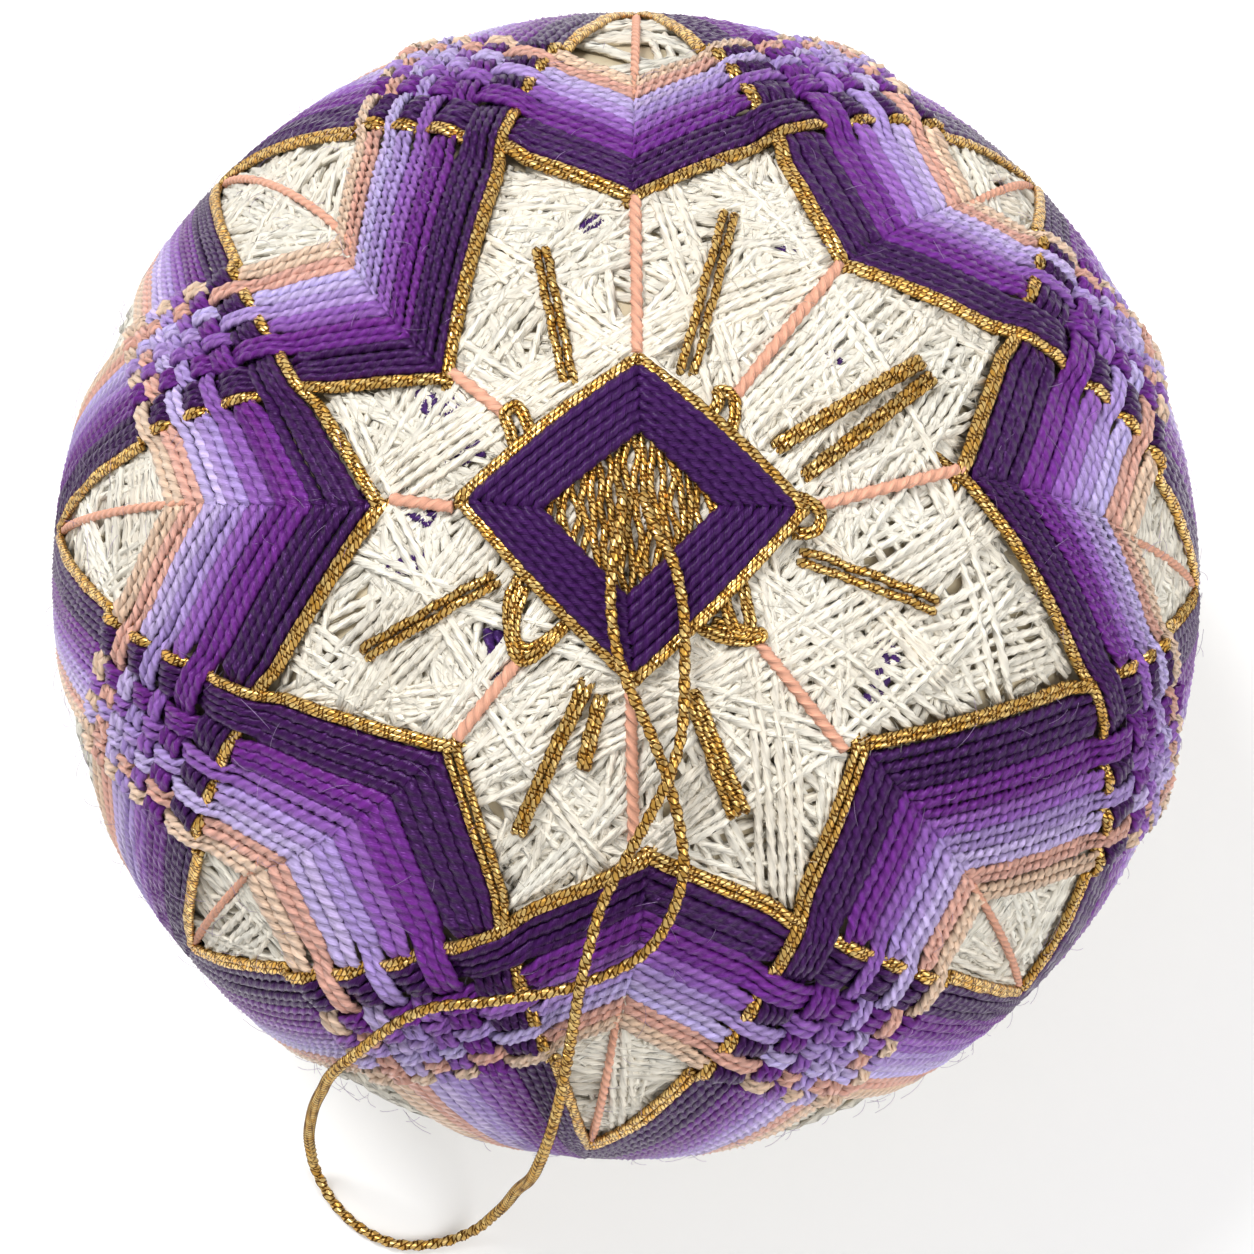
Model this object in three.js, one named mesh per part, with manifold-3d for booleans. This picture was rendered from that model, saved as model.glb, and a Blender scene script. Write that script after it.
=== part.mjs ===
// Temari ball: a thread-wound ball with a woven star band, a stitched square at its pole,
// straight gold stitches and a gold hanging loop. Millimetres, +Z up, origin under the flat spot.

import * as THREE from "three";
import { mergeVertices } from "three/addons/utils/BufferGeometryUtils.js";
import Module from "manifold-3d";

const wasm = await Module();
wasm.setup();

// Wound ball
const BALL_RADIUS = 40;
const FLAT_SPOT_RADIUS = 8;
const CENTRE_HEIGHT = Math.sqrt(BALL_RADIUS ** 2 - FLAT_SPOT_RADIUS ** 2);
const BALL_SECTORS = 48;
const BALL_RINGS = 24;

// Gap kept between a stitched piece and the wound thread under it
const SEAT_GAP = 0.3;

// Star band: heights above the wound thread, and sizes along the guide lines in degrees
const SECOND_ROUND_LIFT = 0.2;
const CROSSING_RISE = 0.75;
const RISE_STARTS = 0.08;
const RISE_FULL = 0.2;
const CROSSING_AT = 0.31;
const RISE_ENDS = 0.4;
const CROSSING_WIDTH = 34;
const TIP_COLATITUDE = 81;
const TIP_WIDTH = 46;
const ARM_STEPS = 14;

// Each guide line in turn round the pole. Pairs are azimuth and colatitude in degrees: gold is the
// band's gold edge where it turns nearest the pole, rim its peach edge on the same line, tip the
// turn below the equator, and cross the point on the way to the next guide line where the two gold
// edges meet. The two peach edges meet at crossRimAz.
const GUIDES = [
  { gold: [9.8, 32.9], rim: [1.8, 58.2], tipAz: -1.3, cross: [28.4, 45.0], crossRimAz: 22.5 },
  { gold: [51.8, 33.7], rim: [45.7, 56.3], tipAz: 43.8, cross: [70.6, 44.0], crossRimAz: 67 },
  { gold: [90.1, 33.1], rim: [89.6, 52.4], tipAz: 89, cross: [108.1, 41.7], crossRimAz: 112.4 },
  { gold: [142.2, 22.3], rim: [134.7, 44.4], tipAz: 136.1, cross: [156.6, 34.8], crossRimAz: 155.4 },
  { gold: [176.1, 24.1], rim: [175.1, 51], tipAz: 175.6, cross: [203.3, 40.5], crossRimAz: 198 },
  { gold: [230.5, 27.5], rim: [220.5, 57.8], tipAz: 220.6, cross: [252.3, 41.3], crossRimAz: 244 },
  { gold: [273, 32.4], rim: [268.5, 53.6], tipAz: 266.1, cross: [293.1, 42.4], crossRimAz: 290.8 },
  { gold: [316.2, 30.7], rim: [315.2, 56.8], tipAz: 313.3, cross: [343.3, 51.5], crossRimAz: 337 },
];

// Band section: across runs from the gold edge to the peach edge, height is above the wound thread
const BAND_TOP = [
  { across: 0, height: 0.8 },
  { across: 0.05, height: 1.15 },
  { across: 0.1, height: 0.95 },
  { across: 0.3, height: 1 },
  { across: 0.5, height: 1 },
  { across: 0.7, height: 1 },
  { across: 0.85, height: 1 },
  { across: 1, height: 0.8 },
];
const BAND_UNDERSIDE = [1, 0.83, 0.67, 0.5, 0.33, 0.17, 0];

// Pole square: corners of the purple thread square, and of the gold square under it, as azimuth
// and colatitude in degrees
const SQUARE_CORNERS = [
  { outer: [4, 16.6], inner: [7.3, 7.9] },
  { outer: [89.2, 15.8], inner: [86, 8] },
  { outer: [176.2, 16.7], inner: [175.2, 8.5] },
  { outer: [269.4, 16], inner: [264.3, 7.4] },
];
const GOLD_CORNERS = [
  [48.9, 14.7],
  [138.5, 15.6],
  [231.3, 17.4],
  [313.7, 16.3],
];
const SQUARE_TOP = [
  { across: 0, height: 1.1 },
  { across: 0.15, height: 1.6 },
  { across: 0.5, height: 1.5 },
  { across: 0.85, height: 1.6 },
  { across: 1, height: 1.2 },
];
const SQUARE_UNDERSIDE = [1, 0.5, 0];
const SQUARE_SIDE_STEPS = 5;
const GOLD_SQUARE_LIFT = 0.1;
const GOLD_SQUARE_HEIGHT = 0.9;

// Straight gold stitches, from the square out towards the star's points, each end as azimuth and
// colatitude in degrees
const STITCHES = [
  { inner: [115.1, 14.4], outer: [108.2, 29.2], innerWidth: 1.2, outerWidth: 1.2 },
  { inner: [70.2, 14.9], outer: [73.1, 33.8], innerWidth: 1.6, outerWidth: 1.3 },
  { inner: [27.1, 15.2], outer: [30.5, 34], innerWidth: 0.9, outerWidth: 0.9 },
  { inner: [14.9, 16.9], outer: [27.4, 34.1], innerWidth: 0.9, outerWidth: 0.9 },
  { inner: [347.8, 16.3], outer: [345.5, 31.2], innerWidth: 1.4, outerWidth: 1.4 },
  { inner: [288.4, 17.2], outer: [290.2, 30.4], innerWidth: 1.2, outerWidth: 2 },
  { inner: [254.1, 16], outer: [249.4, 32.7], innerWidth: 0.9, outerWidth: 0.9 },
  { inner: [259.6, 17.2], outer: [258.5, 24.2], innerWidth: 0.8, outerWidth: 0.8 },
  { inner: [203.4, 14.2], outer: [205.7, 29.4], innerWidth: 1.2, outerWidth: 1.2 },
];
const STITCH_STEPS = 5;
const STITCH_TOP = [
  { across: -0.5, height: 0.5 },
  { across: -0.3, height: 0.95 },
  { across: 0.3, height: 0.95 },
  { across: 0.5, height: 0.5 },
];

// Hanging loop: one cord out of the gold square, over the band, down to the floor and back
const CORD_RADIUS = 0.45;
const CORD_SIDES = 8;
const CORD_STEPS = 80;
const CORD_ROUTE = [
  [-0.8, 1.6, 80.8],
  [-0.9, -0.5, 81.4],
  [-1.4, -3.1, 81.6],
  [-1.5, -6.4, 81.2],
  [-0.8, -10, 80.4],
  [1.3, -14.6, 78.7],
  [2.3, -17.2, 77.2],
  [3.1, -20.2, 75.7],
  [3.3, -23.4, 73.9],
  [1.2, -27.7, 70.7],
  [-3.4, -30, 68.3],
  [-8.8, -31, 67],
  [-13.8, -31.5, 64.3],
  [-19.4, -34.6, 55],
  [-21.6, -36, 38],
  [-22.9, -37.3, 20],
  [-23.4, -38.9, 6],
  [-23, -40.7, 1.6],
  [-21.8, -42.9, 0.6],
  [-19.7, -44.9, 0.6],
  [-16.9, -46.1, 0.6],
  [-13.7, -46, 0.6],
  [-11.3, -45.2, 1.4],
  [-9.3, -43.8, 6],
  [-7.8, -42.5, 19],
  [-6.3, -41.5, 42],
  [-4.9, -37.9, 56.8],
  [-3.9, -32.9, 65.6],
  [-3.4, -30.1, 70],
  [-2.8, -27.6, 71.5],
  [-2, -25, 72.9],
  [-0.2, -21.7, 75.3],
  [1.1, -19.4, 77.1],
  [2.2, -17.3, 78.7],
  [3.1, -14.3, 79.3],
  [3.3, -10.4, 80],
  [3.2, -6.3, 81.1],
  [2.5, -3.1, 81.6],
  [1.3, -1, 81.6],
  [0.5, 1.4, 80.8],
];

const CREAM = new THREE.MeshStandardMaterial({ color: 0xe8e1d0, roughness: 0.95, metalness: 0 });
const PURPLE = new THREE.MeshStandardMaterial({ color: 0x4a2070, roughness: 0.7, metalness: 0 });
const LAVENDER = new THREE.MeshStandardMaterial({ color: 0x8f78b8, roughness: 0.7, metalness: 0 });
const GOLD = new THREE.MeshStandardMaterial({ color: 0xbe8c2d, roughness: 0.35, metalness: 0.8 });

// Directions on the ball

function direction(azimuth, colatitude) {
  const az = THREE.MathUtils.degToRad(azimuth);
  const colat = THREE.MathUtils.degToRad(colatitude);
  const ring = Math.sin(colat);
  return new THREE.Vector3(ring * Math.cos(az), ring * Math.sin(az), Math.cos(colat));
}

function blend(from, to, share) {
  return from.clone().lerp(to, share).normalize();
}

function lift(unit, height) {
  const point = unit.clone().multiplyScalar(BALL_RADIUS + height);
  point.z += CENTRE_HEIGHT;
  return point;
}

// Closed meshes

function closedGeometry(points, triangles) {
  const volume = triangles.reduce((sum, [a, b, c]) => {
    const cross = new THREE.Vector3().crossVectors(points[b], points[c]);
    return sum + points[a].dot(cross);
  }, 0);
  const outward = volume > 0 ? triangles : triangles.map(([a, b, c]) => [a, c, b]);
  const geometry = new THREE.BufferGeometry();
  const positions = points.flatMap((point) => point.toArray());
  geometry.setAttribute("position", new THREE.Float32BufferAttribute(positions, 3));
  geometry.setIndex(outward.flat());
  geometry.computeVertexNormals();
  return geometry;
}

// Joins loops of points, one loop to a station, into a closed ring or a bar with flat ends
function loft(loops, isRing) {
  const count = loops[0].length;
  const points = loops.flat();
  const triangles = [];
  const spans = isRing ? loops.length : loops.length - 1;
  for (let station = 0; station < spans; station += 1) {
    const here = station * count;
    const next = ((station + 1) % loops.length) * count;
    for (let corner = 0; corner < count; corner += 1) {
      const beside = (corner + 1) % count;
      triangles.push([here + corner, here + beside, next + beside]);
      triangles.push([here + corner, next + beside, next + corner]);
    }
  }
  if (!isRing) {
    const last = (loops.length - 1) * count;
    for (let corner = 1; corner < count - 1; corner += 1) {
      triangles.push([0, corner + 1, corner]);
      triangles.push([last, last + corner, last + corner + 1]);
    }
  }
  return closedGeometry(points, triangles);
}

function toManifold(geometry) {
  const bare = geometry.clone();
  bare.deleteAttribute("normal");
  const merged = mergeVertices(bare);
  const vertProperties = new Float32Array(merged.attributes.position.array);
  const triVerts = new Uint32Array(merged.index.array);
  return new wasm.Manifold(new wasm.Mesh({ numProp: 3, vertProperties, triVerts }));
}

function joined(first, second) {
  const mesh = toManifold(first).add(toManifold(second)).getMesh();
  const geometry = new THREE.BufferGeometry();
  geometry.setAttribute("position", new THREE.Float32BufferAttribute(mesh.vertProperties, 3));
  geometry.setIndex(new THREE.Uint32BufferAttribute(mesh.triVerts, 1));
  geometry.computeVertexNormals();
  return geometry;
}

// Wound ball, turned about its axis, flat where it rests

function woundBall() {
  const profile = [new THREE.Vector2(0, 0)];
  const start = Math.asin(FLAT_SPOT_RADIUS / BALL_RADIUS);
  for (let ring = 0; ring <= BALL_RINGS; ring += 1) {
    const turn = start + ((Math.PI - start) * ring) / BALL_RINGS;
    const radius = ring === BALL_RINGS ? 0 : BALL_RADIUS * Math.sin(turn);
    const height = ring === 0 ? 0 : CENTRE_HEIGHT - BALL_RADIUS * Math.cos(turn);
    profile.push(new THREE.Vector2(radius, height));
  }
  return new THREE.LatheGeometry(profile, BALL_SECTORS).rotateX(Math.PI / 2);
}

// Star band

// A row of thread runs from its turn near the pole, through the crossing, to its turn below the equator
function bandDirection(top, tip, across, along) {
  const from = GUIDES[top];
  const to = GUIDES[tip];
  const between = (top + 1) % GUIDES.length === tip ? from : to;
  const mix = THREE.MathUtils.lerp;
  const start = direction(mix(from.gold[0], from.rim[0], across), mix(from.gold[1], from.rim[1], across));
  const [crossAz, crossColat] = between.cross;
  const middle = direction(mix(crossAz, between.crossRimAz, across), crossColat + CROSSING_WIDTH * across);
  const end = direction(to.tipAz, TIP_COLATITUDE + TIP_WIDTH * across);
  const startShare = ((along - CROSSING_AT) * (along - 1)) / CROSSING_AT;
  const middleShare = (along * (along - 1)) / (CROSSING_AT * (CROSSING_AT - 1));
  const endShare = (along * (along - CROSSING_AT)) / (1 - CROSSING_AT);
  const sum = start.multiplyScalar(startShare);
  sum.addScaledVector(middle, middleShare).addScaledVector(end, endShare);
  return sum.normalize();
}

// The pole side of each arm passes over the other round, and its far side dives under
function crossingRise(along) {
  const up = THREE.MathUtils.smoothstep(along, RISE_STARTS, RISE_FULL);
  const down = 1 - THREE.MathUtils.smoothstep(along, CROSSING_AT, RISE_ENDS);
  return CROSSING_RISE * up * down;
}

function bandSection(top, tip, along, underside) {
  const rise = crossingRise(along);
  const at = (across, height) => lift(bandDirection(top, tip, across, along), height);
  const over = BAND_TOP.map(({ across, height }) => at(across, height + rise));
  const under = BAND_UNDERSIDE.map((across) => at(across, underside));
  return [...over, ...under];
}

function zigzagRound(firstTop, underside) {
  const loops = [];
  for (let pair = 0; pair < GUIDES.length; pair += 1) {
    const guide = (firstTop + pair) % GUIDES.length;
    const next = (guide + 1) % GUIDES.length;
    const goesDown = pair % 2 === 0;
    for (let step = 0; step < ARM_STEPS; step += 1) {
      const share = step / ARM_STEPS;
      const [top, tip, along] = goesDown ? [guide, next, share] : [next, guide, 1 - share];
      loops.push(bandSection(top, tip, along, underside));
    }
  }
  return loft(loops, true);
}

function starBand() {
  return joined(zigzagRound(0, SEAT_GAP), zigzagRound(1, SEAT_GAP + SECOND_ROUND_LIFT));
}

// Pole square

function purpleSquare() {
  const loops = [];
  SQUARE_CORNERS.forEach((corner, index) => {
    const next = SQUARE_CORNERS[(index + 1) % SQUARE_CORNERS.length];
    for (let step = 0; step < SQUARE_SIDE_STEPS; step += 1) {
      const share = step / SQUARE_SIDE_STEPS;
      const rim = blend(direction(...corner.outer), direction(...next.outer), share);
      const hole = blend(direction(...corner.inner), direction(...next.inner), share);
      const over = SQUARE_TOP.map(({ across, height }) => lift(blend(rim, hole, across), height));
      const under = SQUARE_UNDERSIDE.map((across) => lift(blend(rim, hole, across), SEAT_GAP));
      loops.push([...over, ...under]);
    }
  });
  return loft(loops, true);
}

function goldSquare() {
  const rim = [];
  GOLD_CORNERS.forEach((corner, index) => {
    const next = GOLD_CORNERS[(index + 1) % GOLD_CORNERS.length];
    for (let step = 0; step < SQUARE_SIDE_STEPS; step += 1) {
      rim.push(blend(direction(...corner), direction(...next), step / SQUARE_SIDE_STEPS));
    }
  });
  const pole = direction(0, 0);
  const count = rim.length;
  const shares = [0.5, 1];
  const points = [];
  const triangles = [];
  for (const height of [GOLD_SQUARE_HEIGHT, SEAT_GAP + GOLD_SQUARE_LIFT]) {
    const centre = points.length;
    points.push(lift(pole, height));
    shares.forEach((share) => rim.forEach((edge) => points.push(lift(blend(pole, edge, share), height))));
    for (let corner = 0; corner < count; corner += 1) {
      const beside = (corner + 1) % count;
      const near = centre + 1;
      const far = near + count;
      const faces = [
        [centre, near + corner, near + beside],
        [near + corner, far + corner, far + beside],
        [near + corner, far + beside, near + beside],
      ];
      triangles.push(...(centre === 0 ? faces : faces.map(([a, b, c]) => [a, c, b])));
    }
  }
  const topRim = 1 + count;
  const underRim = topRim + points.length / 2;
  for (let corner = 0; corner < count; corner += 1) {
    const beside = (corner + 1) % count;
    triangles.push([topRim + corner, underRim + corner, underRim + beside]);
    triangles.push([topRim + corner, underRim + beside, topRim + beside]);
  }
  return closedGeometry(points, triangles);
}

// Straight gold stitch

function goldStitch({ inner, outer, innerWidth, outerWidth }) {
  const start = direction(...inner);
  const end = direction(...outer);
  const aside = new THREE.Vector3().crossVectors(start, end).normalize();
  const loops = [];
  for (let step = 0; step <= STITCH_STEPS; step += 1) {
    const share = step / STITCH_STEPS;
    const width = THREE.MathUtils.lerp(innerWidth, outerWidth, share) / BALL_RADIUS;
    const middle = blend(start, end, share);
    const at = (across, height) => lift(middle.clone().addScaledVector(aside, across * width), height);
    const over = STITCH_TOP.map(({ across, height }) => at(across, height));
    const under = [at(0.5, SEAT_GAP), at(-0.5, SEAT_GAP)];
    loops.push([...over, ...under]);
  }
  return loft(loops, false);
}

// Hanging loop

function hangingLoop() {
  const section = new THREE.Shape();
  for (let side = 0; side < CORD_SIDES; side += 1) {
    const turn = (2 * Math.PI * side) / CORD_SIDES;
    const x = CORD_RADIUS * Math.cos(turn);
    const y = CORD_RADIUS * Math.sin(turn);
    if (side === 0) {
      section.moveTo(x, y);
    } else {
      section.lineTo(x, y);
    }
  }
  section.closePath();
  const route = new THREE.CatmullRomCurve3(CORD_ROUTE.map(([x, y, z]) => new THREE.Vector3(x, y, z)));
  return new THREE.ExtrudeGeometry(section, { steps: CORD_STEPS, extrudePath: route, bevelEnabled: false });
}

// The whole ball

function addPiece(group, name, geometry, material) {
  const mesh = new THREE.Mesh(geometry, material);
  mesh.name = name;
  group.add(mesh);
}

const temari = new THREE.Group();
addPiece(temari, "wound_ball", woundBall(), CREAM);
addPiece(temari, "star_band", starBand(), LAVENDER);
addPiece(temari, "pole_square", joined(purpleSquare(), goldSquare()), PURPLE);
STITCHES.forEach((stitch, index) => addPiece(temari, `gold_stitch_${index + 1}`, goldStitch(stitch), GOLD));
addPiece(temari, "hanging_loop", hangingLoop(), GOLD);

export default temari;
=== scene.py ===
"""Looks of the temari ball: every thread of its winding, star band, pole square and gold stitches.

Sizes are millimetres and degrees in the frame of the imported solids, and become metres in each mesh.
Heights are measured from the top of the wound thread, outwards from the middle of the ball.
"""

import math

import bpy
import numpy as np
from mathutils import Matrix


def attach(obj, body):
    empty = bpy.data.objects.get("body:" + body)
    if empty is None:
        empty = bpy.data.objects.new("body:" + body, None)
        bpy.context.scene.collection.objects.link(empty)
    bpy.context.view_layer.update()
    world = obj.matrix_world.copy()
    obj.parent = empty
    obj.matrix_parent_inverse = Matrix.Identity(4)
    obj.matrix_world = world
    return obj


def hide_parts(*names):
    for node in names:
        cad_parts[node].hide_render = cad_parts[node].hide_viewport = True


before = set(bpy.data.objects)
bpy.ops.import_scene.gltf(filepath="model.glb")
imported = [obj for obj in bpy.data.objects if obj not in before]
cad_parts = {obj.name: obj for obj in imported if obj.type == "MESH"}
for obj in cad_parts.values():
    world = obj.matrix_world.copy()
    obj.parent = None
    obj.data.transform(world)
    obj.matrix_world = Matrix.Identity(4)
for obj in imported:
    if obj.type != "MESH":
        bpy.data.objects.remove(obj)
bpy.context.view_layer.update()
MM = 0.001
random = np.random.default_rng(3089)

# Ball
BALL_RADIUS = 40.0
FLAT_SPOT_RADIUS = 8.0
CENTRE = np.array([0.0, 0.0, math.sqrt(BALL_RADIUS ** 2 - FLAT_SPOT_RADIUS ** 2)])

# Camera, placed from where the ball lies in the photograph
PHOTO_PIXELS = 1254
FOCAL_PIXELS = 6900
SENSOR_WIDTH = 36.0
VIEW_TILT = 6.46
VIEW_AZIMUTH = -96.5
VIEW_DISTANCE = 492.0
BALL_RIGHT_OF_MIDDLE = -1
BALL_ABOVE_MIDDLE = 41

# Star band: each guide line in turn round the pole, as azimuth and colatitude. gold is the gold edge
# where the band turns nearest the pole, rim its peach edge there, tip_az the turn below the equator,
# cross the point before the next guide line where two gold edges meet, and meet_az the azimuth
# where the peach edges of the same two arms meet.
GUIDES = [
    {"gold": (9.8, 32.9), "rim": (1.8, 58.2), "tip_az": -1.3, "cross": (28.4, 45.0), "meet_az": 22.5},
    {"gold": (51.8, 33.7), "rim": (45.7, 56.3), "tip_az": 43.8, "cross": (70.6, 44.0), "meet_az": 67},
    {"gold": (90.1, 33.1), "rim": (89.6, 52.4), "tip_az": 89, "cross": (108.1, 41.7), "meet_az": 112.4},
    {"gold": (142.2, 22.3), "rim": (134.7, 44.4), "tip_az": 136.1, "cross": (156.6, 34.8), "meet_az": 155.4},
    {"gold": (176.1, 24.1), "rim": (175.1, 51), "tip_az": 175.6, "cross": (203.3, 40.5), "meet_az": 198},
    {"gold": (230.5, 27.5), "rim": (220.5, 57.8), "tip_az": 220.6, "cross": (252.3, 41.3), "meet_az": 244},
    {"gold": (273, 32.4), "rim": (268.5, 53.6), "tip_az": 266.1, "cross": (293.1, 42.4), "meet_az": 290.8},
    {"gold": (316.2, 30.7), "rim": (315.2, 56.8), "tip_az": 313.3, "cross": (343.3, 51.5), "meet_az": 337},
]
CROSSING_AT = 0.31
CROSSING_WIDTH = 34
TIP_COLATITUDE = 81
TIP_WIDTH = 46

# Colour groups of the band from the gold edge outwards, each with its rows of thread
GROUPS = [
    {"name": "dark_purple", "rows": 4, "colour": "#2f0540"},
    {"name": "purple", "rows": 3, "colour": "#611f7a"},
    {"name": "mauve", "rows": 2, "colour": "#8654a6"},
    {"name": "lavender", "rows": 2, "colour": "#a288c4"},
    {"name": "pale_lavender", "rows": 2, "colour": "#b9a8d9"},
    {"name": "salmon", "rows": 2, "colour": "#d6a292"},
    {"name": "peach", "rows": 2, "colour": "#e3c1a8"},
]
EDGE_SHARE = 0.06
THREAD_RADIUS = 0.42
THREAD_FLATNESS = 0.88
THREAD_TURNS = 0.5
THREAD_LOBES = 0.12
GROUP_SQUEEZE = 0.24
ALONG_STEP = 0.0092
LARGEST_MISS = 0.002
NOT_CROSSED = -1.0
GOLD_ROWS = (0.0, 0.032)
GOLD_RADIUS = 0.31

# Pole square: corners of the purple rows, and of the gold threads laid under them
PURPLE_CORNERS = [
    {"outer": (3.8, 15.3), "inner": (7.3, 7.9)},
    {"outer": (88.4, 14.5), "inner": (86, 8)},
    {"outer": (173.7, 15.7), "inner": (175.2, 8.5)},
    {"outer": (269.7, 14.5), "inner": (264.3, 7.4)},
]
PURPLE_ROWS = 6
SQUARE_HEIGHT = 1.1
GOLD_CORNERS = [(48.9, 14.7), (138.5, 15.6), (231.3, 17.4), (313.7, 16.3)]
GOLD_FILL_ROWS = 27
GOLD_FILL_HEIGHT = 0.62
GOLD_FILL_REACH = 0.235

# Gold threads of the square that show past its purple sides, as azimuth and colatitude on their way
GOLD_LOOPS = [
    [(152, 12.4), (145, 14), (140.5, 15.6), (136, 15.4), (138, 13.4), (147, 11)],
    [(55, 11), (54, 13.4), (56.5, 14.4), (52, 14.9), (46.5, 13.8), (40, 11.6)],
    [(331, 11.5), (322, 13.4), (317, 14.8), (312.5, 14.6), (314, 12.8), (322, 10.5)],
    [(300, 11.5), (305, 13.4), (314, 15.8), (318, 16.2), (315, 14.9), (307, 12.2)],
    [(207, 12), (214, 14), (224, 16), (231, 17), (233.5, 16.3), (236, 13.8), (238, 11.5)],
    [(212, 12), (221, 14.8), (227, 16), (231, 15.8), (236, 13), (238, 11)],
    [(10, 14.5), (5.5, 16.8), (2, 17.6), (-2, 17.4), (-4.2, 16.6), (-5, 15)],
]

# Bits of purple thread from an inner layer that show between the cream turns
PURPLE_BITS = [
    (150, 22.8),
    (148.5, 21),
    (158.2, 17.5),
    (60.5, 33),
    (41.7, 25.6),
    (334.3, 27.9),
    (326.7, 29),
    (190.7, 22.4),
    (177, 21),
    (222.9, 17.9),
    (225.8, 20.6),
    (97.6, 31),
]

# Straight gold stitches from the square towards the star's points
STITCHES = [
    {"inner": (115.1, 14.4), "outer": (108.2, 29.2), "inner_width": 1.2, "outer_width": 1.2},
    {"inner": (70.2, 14.9), "outer": (73.1, 33.8), "inner_width": 1.6, "outer_width": 1.3},
    {"inner": (27.1, 15.2), "outer": (30.5, 34), "inner_width": 0.9, "outer_width": 0.9},
    {"inner": (14.9, 16.9), "outer": (27.4, 34.1), "inner_width": 0.9, "outer_width": 0.9},
    {"inner": (347.8, 16.3), "outer": (345.5, 31.2), "inner_width": 1.4, "outer_width": 1.4},
    {"inner": (288.4, 17.2), "outer": (290.2, 30.4), "inner_width": 1.2, "outer_width": 2},
    {"inner": (254.1, 16), "outer": (249.4, 32.7), "inner_width": 0.9, "outer_width": 0.9},
    {"inner": (259.6, 17.2), "outer": (258.5, 24.2), "inner_width": 0.8, "outer_width": 0.8},
    {"inner": (203.4, 14.2), "outer": (205.7, 29.4), "inner_width": 1.2, "outer_width": 1.2},
]

# Guide threads where they show, as azimuth and colatitude from the square to the band
GUIDE_THREADS = [
    {"inner": (5, 17.8), "outer": (10.5, 32.8)},
    {"inner": (51, 16), "outer": (52.2, 33.2)},
    {"inner": (88.9, 16.8), "outer": (89.6, 32.7)},
    {"inner": (140.6, 15.8), "outer": (140.2, 22.4)},
    {"inner": (175.8, 17.5), "outer": (174.5, 23.1)},
    {"inner": (230.8, 17.8), "outer": (230.7, 26.5)},
    {"inner": (269.2, 17.1), "outer": (270.2, 30.8)},
    {"inner": (315.3, 16.9), "outer": (313.4, 29.6)},
]
GUIDE_RADIUS = 0.42
PETAL_GUIDE_RADIUS = 0.3
GUIDE_TURNS = 0.5
GUIDE_LOBES = 0.12

# The guide thread in one petal is bowed to one side
BOWED_GUIDE = 3
BOW_DEGREES = -2.0

# Wound thread: each region's reach in degrees from its middle, turns, radius, and step along a turn
TOP_WINDING = {"reach": 42, "turns": 360, "radius": 0.36, "step": 1.1}
PETAL_WINDING = {"turns": 115, "radius": 0.35, "step": 1.5}
UNDER_WINDING = {"reach": 98, "turns": 760, "radius": 0.38, "step": 3.0}
WINDING_TWIST = 0.14
WINDING_LOBES = 0.08
LAST_COLATITUDE = 169

# Loose fibres
FIBRE_RADIUS = 0.016
WINDING_FIBRES = 900
BAND_FIBRES = 1000

# Gloss of dyed thread
GLOSS_WHITENESS = 0.3
SPECULAR_LEVEL = 0.4
COAT_WEIGHT = 0.08
COAT_ROUGHNESS = 0.25
DULL_ROUGHNESS = 0.5

# Studio light: where each lamp stands in metres, its size in metres and its watts
SKY_STRENGTH = 0.58
KEY_LIGHT = {"place": (-0.35, 0.45, 0.9), "size": 0.4, "watts": 9.5}
FILL_LIGHT = {"place": (0.6, -0.3, 0.8), "size": 0.8, "watts": 5.5}

# Hanging loop: the cord's route, out of the gold square, over the band, down to the floor and back
CORD_RADIUS = 0.45
CORD_ROUTE = [
    (-0.8, 1.6, 80.8),
    (-0.9, -0.5, 81.4),
    (-1.4, -3.1, 81.6),
    (-1.5, -6.4, 81.2),
    (-0.8, -10, 80.4),
    (1.3, -14.6, 78.7),
    (2.3, -17.2, 77.2),
    (3.1, -20.2, 75.7),
    (3.3, -23.4, 73.9),
    (1.2, -27.7, 70.7),
    (-3.4, -30, 68.3),
    (-8.8, -31, 67),
    (-13.8, -31.5, 64.3),
    (-19.4, -34.6, 55),
    (-21.6, -36, 38),
    (-22.9, -37.3, 20),
    (-23.4, -38.9, 6),
    (-23, -40.7, 1.6),
    (-21.8, -42.9, 0.6),
    (-19.7, -44.9, 0.6),
    (-16.9, -46.1, 0.6),
    (-13.7, -46, 0.6),
    (-11.3, -45.2, 1.4),
    (-9.3, -43.8, 6),
    (-7.8, -42.5, 19),
    (-6.3, -41.5, 42),
    (-4.9, -37.9, 56.8),
    (-3.9, -32.9, 65.6),
    (-3.4, -30.1, 70),
    (-2.8, -27.6, 71.5),
    (-2, -25, 72.9),
    (-0.2, -21.7, 75.3),
    (1.1, -19.4, 77.1),
    (2.2, -17.3, 78.7),
    (3.1, -14.3, 79.3),
    (3.3, -10.4, 80),
    (3.2, -6.3, 81.1),
    (2.5, -3.1, 81.6),
    (1.3, -1, 81.6),
    (0.5, 1.4, 80.8),
]


# Numbers and directions


def mix(start, end, share):
    return start + (end - start) * share


def smooth(value, low, high):
    share = np.clip((value - low) / (high - low), 0, 1)
    return share * share * (3 - 2 * share)


def unit(vectors):
    return vectors / np.linalg.norm(vectors, axis=-1, keepdims=True)


def direction(azimuth, colatitude):
    az = np.radians(azimuth)
    colat = np.radians(colatitude)
    ring = np.sin(colat)
    return np.stack(np.broadcast_arrays(ring * np.cos(az), ring * np.sin(az), np.cos(colat)), axis=-1)


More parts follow.
